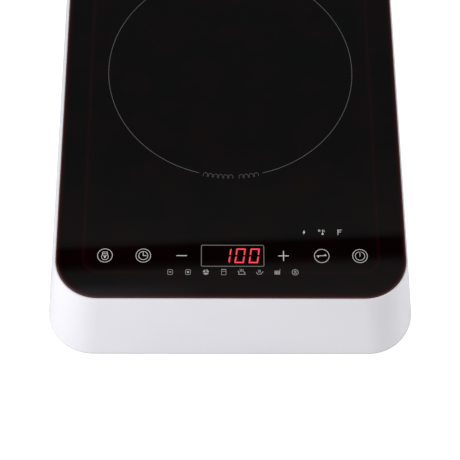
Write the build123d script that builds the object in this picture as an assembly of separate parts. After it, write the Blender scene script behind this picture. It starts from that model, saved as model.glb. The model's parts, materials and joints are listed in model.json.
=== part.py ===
from build123d import *

import os
from math import atan2, cos, pi, radians, sin, tan

os.makedirs("parts", exist_ok=True)

# A portable single-zone induction cooker. Millimetres, +Z up, -Y is the front with the
# controls. The origin is the middle of the footprint at the underside of the feet.

# ------------------------------------------------------------------ driving dimensions
TOTAL_HEIGHT = 70.0
HOUSING_BOTTOM = 5.0        # the housing's lower edge stands this far above the table
GLASS_WIDTH = 280.0
GLASS_DEPTH = 352.0
GLASS_THICKNESS = 4.0
GLASS_CORNER = 34.5
GLASS_EDGE_ROUND = 1.4
GLASS_EDGE_BREAK = 0.4
GLASS_GAP = 0.3             # between the glass and the lip around it
SEAL_THICKNESS = 0.8
SEAL_INSET = 1.6
SEAL_WIDTH = 9.0
RIM = 1.5                   # the housing's lip stands this far outside the glass
LIP_EDGE_ROUND = 0.4
SIDE_FLARE = 10.9           # the walls lean out by this much from glass to lower edge
FRONT_FLARE = 22.3
REAR_FLARE = 10.9
LOWER_EDGE_ROUND = 1.2
BASE_CORNER = 38.2
WALL = 2.5
LEDGE_THICKNESS = 3.0
LEDGE_WIDTH = 22.0          # the shelf under the glass, at the sides and the rear
LEDGE_WIDTH_FRONT = 12.0
ZONE_FROM_FRONT = 212.7     # cooking zone's centre behind the glass's front edge

COVER_BOTTOM = 5.5
COVER_THICKNESS = 2.5
COVER_GAP = 0.4

KEY_ROW_FROM_FRONT = 36.5
KEY_OFFSET = 40.7           # first key either side of the display
KEY_PITCH = 30.6
ICON_ROW_FROM_FRONT = 22.0
ICON_PITCH = 14.2
ICON_COUNT = 8
LAMP_ROW_FROM_FRONT = 57.7
LAMP_PITCH = 14.4
LAMP_COUNT = 3
LAMP_CENTRE_X = 73.1
PANEL_X = 1.1               # middle of the display

# ------------------------------------------------------------------ derived dimensions
GLASS_TOP = TOTAL_HEIGHT
GLASS_BOTTOM = GLASS_TOP - GLASS_THICKNESS
LIP_TOP = GLASS_TOP - GLASS_EDGE_ROUND
LEDGE_TOP = GLASS_BOTTOM - SEAL_THICKNESS
LEDGE_BOTTOM = LEDGE_TOP - LEDGE_THICKNESS
BASE_WIDTH = GLASS_WIDTH + 2 * SIDE_FLARE
BASE_DEPTH = GLASS_DEPTH + FRONT_FLARE + REAR_FLARE


def edge_trim(flare):
    """How far rounding the lower edge pulls in a wall that leans out by this flare."""
    lean = atan2(flare - RIM, LIP_TOP - HOUSING_BOTTOM)
    return LOWER_EDGE_ROUND * (1 / tan((pi / 2 - lean) / 2) - 1)


# the steeper front loses more to the rounding, so the sharp outline sits a little forward
BASE_FRONT = -BASE_DEPTH / 2 - (edge_trim(FRONT_FLARE) - edge_trim(REAR_FLARE)) / 2
BASE_REAR = BASE_FRONT + BASE_DEPTH
GLASS_FRONT = BASE_FRONT + FRONT_FLARE
GLASS_REAR = BASE_REAR - REAR_FLARE
GLASS_Y = (GLASS_FRONT + GLASS_REAR) / 2
ZONE_Y = GLASS_FRONT + ZONE_FROM_FRONT
KEY_Y = GLASS_FRONT + KEY_ROW_FROM_FRONT
ICON_Y = GLASS_FRONT + ICON_ROW_FROM_FRONT
LAMP_Y = GLASS_FRONT + LAMP_ROW_FROM_FRONT
COVER_TOP = COVER_BOTTOM + COVER_THICKNESS
KEY_X = [
    PANEL_X + side * (KEY_OFFSET + step * KEY_PITCH)
    for side in (-1, 1)
    for step in range(3)
]
ICON_X = [PANEL_X + (n - (ICON_COUNT - 1) / 2) * ICON_PITCH for n in range(ICON_COUNT)]
LAMP_X = [LAMP_CENTRE_X + (n - (LAMP_COUNT - 1) / 2) * LAMP_PITCH for n in range(LAMP_COUNT)]


# ------------------------------------------------------------------ helpers
LOW = (Align.CENTER, Align.CENTER, Align.MIN)


def rod(radius, z_low, z_high, x=0.0, y=0.0):
    """Upright cylinder between two heights."""
    return Pos(x, y, z_low) * Cylinder(radius, z_high - z_low, align=LOW)


def tube(outer, inner, z_low, z_high, x=0.0, y=0.0):
    """Upright tube between two heights."""
    return rod(outer, z_low, z_high, x, y) - rod(inner, z_low, z_high, x, y)


def block(x_size, y_size, z_low, z_high, x=0.0, y=0.0):
    """Upright box between two heights."""
    return Pos(x, y, z_low) * Box(x_size, y_size, z_high - z_low, align=LOW)


def slab(x_size, y_size, corner, z_low, z_high, x=0.0, y=0.0):
    """Plate with rounded corners between two heights."""
    sketch = Pos(x, y, z_low) * RectangleRounded(x_size, y_size, corner)
    return extrude(sketch, z_high - z_low, dir=(0, 0, 1))


def screw(head_radius, head_height, shank_radius, shank_length, drive=0.9):
    """Pan-head screw, its head's underside at the origin, pointing down, with a cross recess."""
    body = rod(head_radius, 0, head_height) + rod(shank_radius, -shank_length, 0)
    body = fillet(body.edges().filter_by(GeomType.CIRCLE).group_by(Axis.Z)[-1], head_height * 0.4)
    body -= block(head_radius * 1.2, drive, head_height * 0.45, head_height + 1)
    body -= block(drive, head_radius * 1.2, head_height * 0.45, head_height + 1)
    return body


def group(pieces):
    """Separate solids kept together in one node."""
    return Compound(children=[solid for piece in pieces for solid in piece.solids()])


def lead(points, radii, radius):
    """Round lead along straight runs joined by tangent arcs."""
    path = FilletPolyline(*points, radius=radii)
    start = Vector(*points[0])
    ahead = Vector(*points[1]) - start
    section = Plane(origin=start, z_dir=ahead) * Circle(radius)
    return sweep(section, path=path)


def coil_spring(radius, wire, z_low, z_high, turns, x=0.0, y=0.0):
    """Open coil spring between two heights."""
    height = z_high - z_low - 2 * wire
    path = Helix(pitch=height / turns, height=height, radius=radius)
    section = Plane(origin=path @ 0, z_dir=path % 0) * Circle(wire)
    return Pos(x, y, z_low + wire) * sweep(section, path=path, is_frenet=True)


def around(count, start=0.0):
    """Evenly spaced angles in degrees."""
    return [start + 360.0 * n / count for n in range(count)]


def polar(radius, angle, x=0.0, y=0.0):
    """Point at a radius and an angle from a centre."""
    return x + radius * cos(radians(angle)), y + radius * sin(radians(angle))


def lerp(low, high, share):
    return low + (high - low) * share


# ------------------------------------------------------------------ housing
def wall_outline(z, inset=0.0):
    """Outline of the housing's outside at height z, moved in by inset."""
    share = (z - HOUSING_BOTTOM) / (LIP_TOP - HOUSING_BOTTOM)
    half_width = lerp(BASE_WIDTH / 2, GLASS_WIDTH / 2 + RIM, share) - inset
    front = lerp(BASE_FRONT, GLASS_FRONT - RIM, share) + inset
    rear = lerp(BASE_REAR, GLASS_REAR + RIM, share) - inset
    corner = lerp(BASE_CORNER, GLASS_CORNER + RIM, share) - inset
    middle = (front + rear) / 2
    return Pos(0, middle, z) * RectangleRounded(2 * half_width, rear - front, corner)


REAR_LEAN = atan2(REAR_FLARE - RIM, LIP_TOP - HOUSING_BOTTOM)


def rear_wall_y(z):
    """Where the outside of the rear wall is at height z."""
    return BASE_REAR - (z - HOUSING_BOTTOM) * tan(REAR_LEAN)


SCREW_COLUMN = [(122.0, -156.0), (132.0, -60.0), (132.0, 78.0), (122.0, 165.0)]
SCREW_POINTS = [(side * x, y) for x, y in SCREW_COLUMN for side in (-1, 1)]
POST_RADIUS = 4.5
POST_BOTTOM = 10.4
POST_HOLE = 1.5
HOUSING_SCREW_HOLE = 1.8
COUNTERBORE = 4.2
COUNTERBORE_TOP = COVER_TOP + 0.2
HOUSING_SCREW_HEAD = 2.2
HOUSING_SCREW_LENGTH = 14.0

VENT_WIDTH = 3.4
VENT_LOW = 20.0
VENT_HIGH = 47.0
VENT_PITCH = 7.2
VENT_GROUPS = [(-68.0, 11), (14.0, 11)]      # middle of each group, number of slots

GLAND_X = 96.0
GLAND_Z = 30.0
GLAND_NECK = 7.9
GLAND_COLLAR = 10.0
CORD_HOLE = 4.1
GLAND_FIT = 0.1             # between the neck and its hole
GLAND_PLANE = Plane(
    origin=(GLAND_X, rear_wall_y(GLAND_Z), GLAND_Z),
    x_dir=(1, 0, 0),
    z_dir=(0, cos(REAR_LEAN), sin(REAR_LEAN)),
)


def vent_slots():
    """Upright exhaust slots through the rear wall."""
    cutters = []
    height = VENT_HIGH - VENT_LOW
    middle_z = (VENT_LOW + VENT_HIGH) / 2
    for middle, count in VENT_GROUPS:
        for n in range(count):
            x = middle + (n - (count - 1) / 2) * VENT_PITCH
            plane = Plane(origin=(x, BASE_REAR + 5, middle_z), x_dir=(1, 0, 0), z_dir=(0, -1, 0))
            slot = plane * (Rot(0, 0, 90) * SlotOverall(height, VENT_WIDTH))
            cutters.append(extrude(slot, 25))
    return cutters


def make_upper_housing():
    """White moulded shell: flared walls, a lip round the glass and a shelf under it, screw posts."""
    shell = loft([wall_outline(HOUSING_BOTTOM), wall_outline(LIP_TOP)], ruled=True)
    shell = fillet(shell.faces().sort_by(Axis.Z)[0].edges(), LOWER_EDGE_ROUND)
    shell = fillet(shell.faces().sort_by(Axis.Z)[-1].edges(), LIP_EDGE_ROUND)
    shell -= slab(
        GLASS_WIDTH + 2 * GLASS_GAP, GLASS_DEPTH + 2 * GLASS_GAP, GLASS_CORNER + GLASS_GAP,
        LEDGE_TOP, LIP_TOP + 1, 0, GLASS_Y,
    )
    shell -= loft([wall_outline(HOUSING_BOTTOM - 1, WALL), wall_outline(LEDGE_BOTTOM, WALL)], ruled=True)
    window_front = GLASS_FRONT + LEDGE_WIDTH_FRONT
    window_rear = GLASS_REAR - LEDGE_WIDTH
    shell -= slab(
        GLASS_WIDTH - 2 * LEDGE_WIDTH, window_rear - window_front, GLASS_CORNER - LEDGE_WIDTH,
        LEDGE_BOTTOM - 1, LEDGE_TOP + 1, 0, (window_front + window_rear) / 2,
    )
    for x, y in SCREW_POINTS:
        shell += rod(POST_RADIUS, POST_BOTTOM, LEDGE_BOTTOM + 1, x, y)
    for x, y in SCREW_POINTS:
        shell -= rod(POST_HOLE, POST_BOTTOM - 1, POST_BOTTOM + HOUSING_SCREW_LENGTH, x, y)
    shell -= vent_slots()
    shell -= GLAND_PLANE * (Pos(0, 0, -10) * Cylinder(GLAND_NECK + GLAND_FIT, 20, align=LOW))
    return shell


def make_glass_plate():
    """Black ceramic glass, its top edge rounded and its lower edge broken."""
    plate = slab(GLASS_WIDTH, GLASS_DEPTH, GLASS_CORNER, GLASS_BOTTOM, GLASS_TOP, 0, GLASS_Y)
    plate = fillet(plate.faces().sort_by(Axis.Z)[-1].edges(), GLASS_EDGE_ROUND)
    return chamfer(plate.faces().sort_by(Axis.Z)[0].edges(), GLASS_EDGE_BREAK)


def make_glass_seal():
    """Silicone frame that the glass is bonded on."""
    outer = slab(
        GLASS_WIDTH - 2 * SEAL_INSET, GLASS_DEPTH - 2 * SEAL_INSET, GLASS_CORNER - SEAL_INSET,
        LEDGE_TOP, GLASS_BOTTOM, 0, GLASS_Y,
    )
    inset = SEAL_INSET + SEAL_WIDTH
    return outer - slab(
        GLASS_WIDTH - 2 * inset, GLASS_DEPTH - 2 * inset, GLASS_CORNER - inset,
        LEDGE_TOP - 1, GLASS_BOTTOM + 1, 0, GLASS_Y,
    )


# ------------------------------------------------------------------ bottom cover
FAN_X = -92.0
FAN_Y = 12.0
FAN_SIZE = 92.0
FAN_HOLE = 41.25            # fixing holes, from the fan's middle
FAN_FIXINGS = [(sx * FAN_HOLE, sy * FAN_HOLE) for sx in (-1, 1) for sy in (-1, 1)]
FAN_LOW = 12.0
FAN_HIGH = 37.0

BOARD_X = 0.0
BOARD_Y = -100.0
BOARD_WIDTH = 200.0
BOARD_DEPTH = 100.0
BOARD_LOW = 15.0
BOARD_HIGH = 16.6
BOARD_FIXINGS = [(sx * 95.0, BOARD_Y + sy * 45.0) for sx in (-1, 1) for sy in (-1, 1)]

PANEL_BOARD_LOW = 54.0
PANEL_BOARD_HIGH = 55.6
PANEL_FIXINGS = [
    (-108.0, -156.0), (-108.0, -112.0), (-40.0, -157.0),
    (40.0, -157.0), (108.0, -156.0), (108.0, -112.0),
]

COIL_FIXING_REACH = 98.0
COIL_FIXINGS = [polar(COIL_FIXING_REACH, angle, 0, ZONE_Y) for angle in around(3)]
COIL_POST_TOP = 46.0
COIL_POST_RADIUS = 5.0
SPRING_SEAT = 3.4

COVER_POST_RADIUS = 6.5
BOARD_POST_RADIUS = 3.5
PANEL_POST_RADIUS = 4.0
FAN_POST_RADIUS = 4.5
CLAMP_POST_RADIUS = 4.0
SMALL_THREAD_HOLE = 1.25
CLAMP_THREAD_HOLE = 1.45
FAN_THREAD_HOLE = 1.75
COIL_THREAD_HOLE = 1.95
RIB_THICKNESS = 1.6
RIB_HEIGHT = 4.0

FOOT_POINTS = [(side * 120.0, y) for y in (-118.0, 128.0) for side in (-1, 1)]
FOOT_RADIUS = 11.0
FOOT_DRAFT = 1.2
FOOT_EDGE_ROUND = 0.8
FOOT_STEM = 3.1
FOOT_FIT = 0.1

CLAMP_Y = 152.0
CLAMP_SEAT = 25.0
CLAMP_REACH = 9.0           # clamp screws, either side of the cord
TERMINAL_X = 114.0
TERMINAL_Y = 105.0
TERMINAL_LOW = 10.0


GRILLE_RINGS = range(6, 40, 7)      # inner radius of each ring slot
GRILLE_SLOT = 4.2
GRILLE_SPOKE = 3.6
OUTLET_COUNT = 11
OUTLET_PITCH = 8.0
OUTLET_FIRST_X = -88.0
OUTLET_Y = -142.0
OUTLET_LENGTH = 34.0
OUTLET_WIDTH = 3.6


def intake_grille():
    """Ring slots under the fan, with four spokes left between them."""
    cutters = []
    for inner in GRILLE_RINGS:
        ring = tube(inner + GRILLE_SLOT, inner, COVER_BOTTOM - 1, COVER_TOP + 1, FAN_X, FAN_Y)
        for angle in (45, 135):
            spoke = Rot(0, 0, angle) * block(100, GRILLE_SPOKE, 0, COVER_TOP + 2)
            ring -= Pos(FAN_X, FAN_Y, 0) * spoke
        cutters += ring.solids()
    return cutters


def outlet_slots():
    """Slots in the cover ahead of the heatsink, where the warm air leaves."""
    slot = Rot(0, 0, 90) * SlotOverall(OUTLET_LENGTH, OUTLET_WIDTH)
    return [
        extrude(Pos(OUTLET_FIRST_X + OUTLET_PITCH * n, OUTLET_Y, COVER_BOTTOM - 1) * slot, 10)
        for n in range(OUTLET_COUNT)
    ]


def make_bottom_cover():
    """Flat cover with the fan's intake, the standoffs and the posts for everything inside."""
    plate = extrude(wall_outline(COVER_TOP, WALL + COVER_GAP), -COVER_THICKNESS)
    for x, y in SCREW_POINTS:
        plate += rod(COVER_POST_RADIUS, COVER_TOP - 1, POST_BOTTOM, x, y)
    for x, y in BOARD_FIXINGS:
        plate += rod(BOARD_POST_RADIUS, COVER_TOP - 1, BOARD_LOW, x, y)
    for x, y in PANEL_FIXINGS:
        plate += rod(PANEL_POST_RADIUS, COVER_TOP - 1, PANEL_BOARD_LOW, x, y)
    for x, y in COIL_FIXINGS:
        plate += rod(COIL_POST_RADIUS, COVER_TOP - 1, COIL_POST_TOP - 4, x, y)
        plate += rod(SPRING_SEAT, COIL_POST_TOP - 5, COIL_POST_TOP, x, y)
    for x, y in FAN_FIXINGS:
        plate += rod(FAN_POST_RADIUS, COVER_TOP - 1, FAN_LOW, FAN_X + x, FAN_Y + y)
    for side in (-1, 1):
        clamp_x = GLAND_X + side * CLAMP_REACH
        plate += rod(CLAMP_POST_RADIUS, COVER_TOP - 1, CLAMP_SEAT, clamp_x, CLAMP_Y)
    plate += block(30, 16, COVER_TOP - 1, TERMINAL_LOW, TERMINAL_X, TERMINAL_Y)
    for x in (-40.0, 0.0, 40.0):
        plate += block(RIB_THICKNESS, 120, COVER_TOP - 1, COVER_TOP + RIB_HEIGHT, x, 118)
    plate += block(150, RIB_THICKNESS, COVER_TOP - 1, COVER_TOP + RIB_HEIGHT, 20, -40)

    for x, y in SCREW_POINTS:
        plate -= rod(HOUSING_SCREW_HOLE, COVER_BOTTOM - 1, POST_BOTTOM + 1, x, y)
        plate -= rod(COUNTERBORE, COVER_BOTTOM - 1, COUNTERBORE_TOP, x, y)
    for x, y in BOARD_FIXINGS:
        plate -= rod(SMALL_THREAD_HOLE, COVER_TOP + 1, BOARD_LOW + 1, x, y)
    for x, y in PANEL_FIXINGS:
        plate -= rod(SMALL_THREAD_HOLE, PANEL_BOARD_LOW - 12, PANEL_BOARD_LOW + 1, x, y)
    for x, y in COIL_FIXINGS:
        plate -= rod(COIL_THREAD_HOLE, COIL_POST_TOP - 16, COIL_POST_TOP + 1, x, y)
    for x, y in FAN_FIXINGS:
        plate -= rod(FAN_THREAD_HOLE, COVER_TOP, FAN_LOW + 1, FAN_X + x, FAN_Y + y)
    for side in (-1, 1):
        clamp_x = GLAND_X + side * CLAMP_REACH
        plate -= rod(CLAMP_THREAD_HOLE, CLAMP_SEAT - 12, CLAMP_SEAT + 1, clamp_x, CLAMP_Y)
    for x, y in FOOT_POINTS:
        plate -= rod(FOOT_STEM + FOOT_FIT, COVER_BOTTOM - 1, COVER_TOP + 1, x, y)
    plate -= intake_grille()
    plate -= outlet_slots()
    return plate


def make_rubber_feet():
    """Four push-in rubber feet."""
    feet = []
    for x, y in FOOT_POINTS:
        pad = Pos(x, y, 0) * Cone(FOOT_RADIUS - FOOT_DRAFT, FOOT_RADIUS, COVER_BOTTOM, align=LOW)
        pad = fillet(pad.edges().group_by(Axis.Z)[0], FOOT_EDGE_ROUND)
        stem = rod(FOOT_STEM, COVER_BOTTOM - 0.5, COVER_TOP, x, y)
        barb = Pos(x, y, COVER_TOP) * Cone(FOOT_STEM + 0.9, FOOT_STEM - 0.7, 3.0, align=LOW)
        feet.append(pad + stem + barb)
    return group(feet)


def make_housing_screws():
    """Screws that hold the cover to the housing, heads down in their counterbores."""
    pattern = screw(3.6, HOUSING_SCREW_HEAD, POST_HOLE - 0.05, HOUSING_SCREW_LENGTH - 1.5)
    pattern = Rot(180, 0, 0) * pattern
    return group([Pos(x, y, COUNTERBORE_TOP) * pattern for x, y in SCREW_POINTS])


# ------------------------------------------------------------------ mains inlet
def make_cord_gland():
    """Rubber bush in the rear wall: a collar on each side and a bore for the cord."""
    outside = 2.0
    inside = WALL + 0.2
    neck = Pos(0, 0, -inside - 2) * Cylinder(GLAND_NECK, inside + 2 + outside, align=LOW)
    front = Cylinder(GLAND_COLLAR, outside, align=LOW)
    front = fillet(front.edges().group_by(Axis.Z)[-1], 0.9)
    rear = Pos(0, 0, -inside - 2) * Cylinder(GLAND_COLLAR - 0.5, 2, align=LOW)
    bore = Pos(0, 0, -20) * Cylinder(CORD_HOLE, 40, align=LOW)
    return GLAND_PLANE * (neck + front + rear - bore)


def make_cord_clamp():
    """Saddle that grips the cord just inside the gland."""
    strap = slab(2 * CLAMP_REACH + 9, 8, 2.5, CLAMP_SEAT, CLAMP_SEAT + 3, GLAND_X, CLAMP_Y)
    axis_height = CLAMP_SEAT + 1.5
    arch = Pos(GLAND_X, CLAMP_Y, axis_height) * (Rot(90, 0, 0) * Cylinder(CORD_HOLE + 2.5, 8))
    arch -= block(40, 20, 0, CLAMP_SEAT, GLAND_X, CLAMP_Y)
    strap += arch
    strap -= Pos(GLAND_X, CLAMP_Y, axis_height) * (Rot(90, 0, 0) * Cylinder(CORD_HOLE, 12))
    for side in (-1, 1):
        strap -= rod(1.7, CLAMP_SEAT - 1, CLAMP_SEAT + 9, GLAND_X + side * CLAMP_REACH, CLAMP_Y)
    return strap


def make_clamp_screws():
    pattern = screw(2.3, 1.9, 1.4, 13)
    return group([
        Pos(GLAND_X + side * CLAMP_REACH, CLAMP_Y, CLAMP_SEAT + 3) * pattern for side in (-1, 1)
    ])


TERMINAL_PITCH = 9.5
TERMINAL_POLES = [TERMINAL_X + n * TERMINAL_PITCH for n in (-1, 0, 1)]
TERMINAL_HEIGHT = 13.0
TERMINAL_BORE_HEIGHT = 4.5


def make_terminal_block():
    """Three-pole screw terminal block on its pad."""
    body = block(30, 16, TERMINAL_LOW, TERMINAL_LOW + TERMINAL_HEIGHT, TERMINAL_X, TERMINAL_Y)
    body = fillet(body.edges().filter_by(Axis.Z), 1.5)
    for x in TERMINAL_POLES:
        bore = Rot(90, 0, 0) * Cylinder(1.8, 30)
        body -= Pos(x, TERMINAL_Y, TERMINAL_LOW + TERMINAL_BORE_HEIGHT) * bore
        body -= rod(2.4, TERMINAL_LOW + 7.5, TERMINAL_LOW + 20, x, TERMINAL_Y)
    for x in TERMINAL_POLES[:-1]:
        groove_x = x + TERMINAL_PITCH / 2
        body -= block(1.6, 20, TERMINAL_LOW + 9, TERMINAL_LOW + 20, groove_x, TERMINAL_Y)
    return body


# ------------------------------------------------------------------ coil
FORMER_LOW = 60.1
FORMER_HIGH = 62.6
MICA_LOW = 65.4
WINDING_HIGH = MICA_LOW
COIL_INNER = 24.0
COIL_TURNS = 19
COIL_PITCH = 3.2
COIL_WIRE = 2.8
COIL_OUTER = COIL_INNER + COIL_TURNS * COIL_PITCH
HUB_RADIUS = 20.0
HUB_HOLE = 10.0
FERRITE_THICKNESS = 5.0
FERRITE_WIDTH = 11.0
FERRITE_START = 28.0
FERRITE_LENGTH = 56.0
FERRITE_MIDDLE = FERRITE_START + FERRITE_LENGTH / 2
ARM_START = 15.0
ARM_END = 90.0
POCKET_WALL = 1.6
ARM_ANGLES = around(8, 22.5)


def make_coil_former():
    """Spider that carries the winding, with a pocket for a ferrite bar under each arm."""
    former = tube(HUB_RADIUS, HUB_HOLE, FORMER_LOW, FORMER_HIGH)
    former += tube(92, 87, FORMER_LOW, FORMER_HIGH)
    former += tube(57, 54, FORMER_LOW, FORMER_HIGH)
    reach = ARM_END - ARM_START
    for angle in ARM_ANGLES:
        arm = block(reach, FERRITE_WIDTH + 3.4, FORMER_LOW, FORMER_HIGH, ARM_START + reach / 2, 0)
        for side in (-1, 1):
            wall_y = side * (FERRITE_WIDTH / 2 + 0.9)
            wall = block(FERRITE_LENGTH, POCKET_WALL, FORMER_LOW - 4, FORMER_LOW + 1, FERRITE_MIDDLE, wall_y)
            arm += wall
        former += Rot(0, 0, angle) * arm
    for angle in around(3):
        ear = slab(16, 14, 5, FORMER_LOW, FORMER_HIGH, COIL_FIXING_REACH - 2, 0)
        ear -= rod(2.4, FORMER_LOW - 1, FORMER_HIGH + 1, COIL_FIXING_REACH, 0)
        former += Rot(0, 0, angle) * ear
    former -= rod(HUB_HOLE, FORMER_LOW - 6, FORMER_HIGH + 1)
    return Pos(0, ZONE_Y, 0) * former


def spiral_edges(offset):
    """Semicircles of a flat spiral, growing by half a pitch each, moved outwards by offset."""
    edges = []
    for n in range(2 * COIL_TURNS):
        radius = COIL_INNER + COIL_PITCH / 4 + n * COIL_PITCH / 2 + offset
        centre_y = COIL_PITCH / 4 * (1 if n % 2 == 0 else -1)
        start = -90 if n % 2 == 0 else 90
        edges.append(CenterArc((0, centre_y), radius, start, 180))
    return edges


def make_coil_winding():
    """Flat spiral of litz wire."""
    inner = spiral_edges(-COIL_WIRE / 2)
    outer = spiral_edges(COIL_WIRE / 2)
    ends = [Line(inner[0] @ 0, outer[0] @ 0), Line(inner[-1] @ 1, outer[-1] @ 1)]
    face = make_face(inner + outer + ends)
    return Pos(0, ZONE_Y, FORMER_HIGH) * extrude(face, WINDING_HIGH - FORMER_HIGH)


def make_ferrite_bars():
    low = FORMER_LOW - FERRITE_THICKNESS
    bar = block(FERRITE_LENGTH, FERRITE_WIDTH, low, FORMER_LOW, FERRITE_MIDDLE, 0)
    bar = chamfer(bar.faces().sort_by(Axis.Z)[0].edges(), 0.6)
    return group([Pos(0, ZONE_Y, 0) * (Rot(0, 0, angle) * bar) for angle in ARM_ANGLES])


def make_mica_sheet():
    """Insulating disc between winding and glass, open in the middle for the sensor."""
    return tube(90, HUB_HOLE, MICA_LOW, GLASS_BOTTOM, 0, ZONE_Y)


def make_coil_springs():
    return group([
        coil_spring(4.3, 0.5, COIL_POST_TOP - 4, FORMER_LOW, 5, x, y) for x, y in COIL_FIXINGS
    ])


def make_coil_screws():
    pattern = screw(3.6, 2.2, 1.9, 30)
    return group([Pos(x, y, FORMER_HIGH) * pattern for x, y in COIL_FIXINGS])


SENSOR_LOW = 57.0


def make_thermistor_holder():
    """Silicone sleeve that presses the sensor against the glass."""
    sleeve = rod(HUB_HOLE - 0.4, SENSOR_LOW, GLASS_BOTTOM - 0.6, 0, ZONE_Y)
    sleeve += tube(HUB_HOLE + 3, HUB_HOLE - 1, SENSOR_LOW, FORMER_LOW, 0, ZONE_Y)
    sleeve -= rod(2.8, SENSOR_LOW - 1, GLASS_BOTTOM, 0, ZONE_Y)
    return sleeve


def make_thermistor():
    bead = rod(2.6, SENSOR_LOW + 2, GLASS_BOTTOM, 0, ZONE_Y)
    return fillet(bead.edges().group_by(Axis.Z)[0], 1.2)


# ------------------------------------------------------------------ main board
HEATSINK_X = -66.0
HEATSINK_Y = -88.0
HEATSINK_WIDTH = 62.0
HEATSINK_LENGTH = 54.0
HEATSINK_PLATE_LOW = 22.0
HEATSINK_PLATE_HIGH = 26.0
HEATSINK_TOP = 46.0
FIN_COUNT = 12
FIN_THICKNESS = 1.6
LEG_THICKNESS = 2.4
TRANSISTOR_X = HEATSINK_X - 15
RECTIFIER_X = HEATSINK_X + 15
POWER_Y = -88.0
TAB_Y = -57.0
MAINS_TAB_X = [68.0, 80.0]
COIL_TAB_X = [-14.0, 4.0]


def make_main_board():
    board = slab(BOARD_WIDTH, BOARD_DEPTH, 3, BOARD_LOW, BOARD_HIGH, BOARD_X, BOARD_Y)
    for x, y in BOARD_FIXINGS:
        board -= rod(1.6, BOARD_LOW - 1, BOARD_HIGH + 1, x, y)
    return board


def make_board_screws():
    pattern = screw(2.8, 1.9, 1.2, 7)
    return group([Pos(x, y, BOARD_HIGH) * pattern for x, y in BOARD_FIXINGS])


def make_heatsink():
    """Finned aluminium extrusion on two legs, its fins along the air stream."""
    sink = block(
        HEATSINK_WIDTH, HEATSINK_LENGTH, HEATSINK_PLATE_LOW, HEATSINK_PLATE_HIGH, HEATSINK_X, HEATSINK_Y,
    )
    fin_span = HEATSINK_WIDTH - FIN_THICKNESS
    for n in range(FIN_COUNT):
        x = HEATSINK_X + fin_span * (n / (FIN_COUNT - 1) - 0.5)
        sink += block(FIN_THICKNESS, HEATSINK_LENGTH, HEATSINK_PLATE_HIGH - 1, HEATSINK_TOP, x, HEATSINK_Y)
    for side in (-1, 1):
        x = HEATSINK_X + side * (HEATSINK_WIDTH - LEG_THICKNESS) / 2
        sink += block(LEG_THICKNESS, HEATSINK_LENGTH, BOARD_HIGH, HEATSINK_PLATE_LOW + 1, x, HEATSINK_Y)
    for x in (TRANSISTOR_X, RECTIFIER_X):
        sink -= rod(3.4, HEATSINK_PLATE_HIGH, HEATSINK_TOP + 1, x, POWER_Y)
        sink -= rod(1.5, HEATSINK_PLATE_LOW - 1, HEATSINK_PLATE_HIGH + 1, x, POWER_Y)
    return sink


def power_package(x, width, length, thickness, pins, pin_pitch):
    """Flat power package under the heatsink, its pins bent down through the board."""
    high = HEATSINK_PLATE_LOW
    body = block(width, length, high - thickness, high, x, POWER_Y)
    body = chamfer(body.faces().sort_by(Axis.Z)[0].edges(), 0.5)
    edge = POWER_Y - length / 2
    for n in range(pins):
        pin_x = x + (n - (pins - 1) / 2) * pin_pitch
        body += block(1.2, 5, high - 3, high - 2.2, pin_x, edge - 2)
        body += block(1.2, 0.8, BOARD_HIGH, high - 2.2, pin_x, edge - 4.1)
    body -= rod(1.5, high - thickness - 1, high + 1, x, POWER_Y)
    return body


def make_transistor():
    return power_package(TRANSISTOR_X, 16, 21, 5.0, 3, 5.45)


def make_rectifier():
    return power_package(RECTIFIER_X, 26, 20, 4.6, 4, 7.0)


def make_heatsink_screws():
    pattern = screw(2.8, 1.9, 1.4, 7.5)
    places = (TRANSISTOR_X, RECTIFIER_X)
    return group([Pos(x, POWER_Y, HEATSINK_PLATE_HIGH) * pattern for x in places])


def make_thermal_cutout():
    """Small round cutout clipped on the rear end of the heatsink's plate."""
    y = HEATSINK_Y + HEATSINK_LENGTH / 2
    cap = Pos(HEATSINK_X, y, 24) * (Rot(-90, 0, 0) * Cylinder(3.0, 3.5, align=LOW))
    return cap + block(9, 1.2, 18, 30, HEATSINK_X, y + 0.6)


def film_capacitor(width, depth, height, x, y):
    """Boxed film capacitor with rounded edges, on two short legs."""
    body = block(width, depth, BOARD_HIGH + 0.6, BOARD_HIGH + height, x, y)
    body = fillet(body.edges().filter_by(Axis.Z) + body.faces().sort_by(Axis.Z)[-1].edges(), 1.0)
    for side in (-1, 1):
        body += rod(0.5, BOARD_HIGH, BOARD_HIGH + 1.5, x + side * (width / 2 - 5), y)
    return body


def make_resonant_capacitor():
    return film_capacitor(42, 20, 32, -2, -74)


def make_filter_capacitor():
    return film_capacitor(38, 19, 28, -2, -98)


def make_interference_capacitor():
    return film_capacitor(32, 14, 24, 78, -100)


ELECTROLYTICS = [(-24.0, -122.0), (-10.0, -122.0), (-24.0, -136.0)]


def make_electrolytic_capacitors():
    """Aluminium cans with a rolled groove near the foot."""
    cans = []
    for x, y in ELECTROLYTICS:
        can = rod(5.0, BOARD_HIGH, BOARD_HIGH + 18, x, y)
        can = fillet(can.edges().group_by(Axis.Z)[-1], 0.8)
        can -= tube(6.0, 4.5, BOARD_HIGH + 2, BOARD_HIGH + 3, x, y)
        cans.append(can)
    return group(cans)


CHOKE_X = 44.0
CHOKE_Y = -76.0
CHOKE_INNER = 8.0
CHOKE_OUTER = 14.0
CHOKE_LOW = BOARD_HIGH + 2
CHOKE_HIGH = BOARD_HIGH + 14


def make_choke_core():
    """Ring core of the smoothing choke, lying flat."""
    ring = tube(CHOKE_OUTER, CHOKE_INNER, CHOKE_LOW, CHOKE_HIGH, CHOKE_X, CHOKE_Y)
    return fillet(ring.edges(), 0.8)


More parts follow.
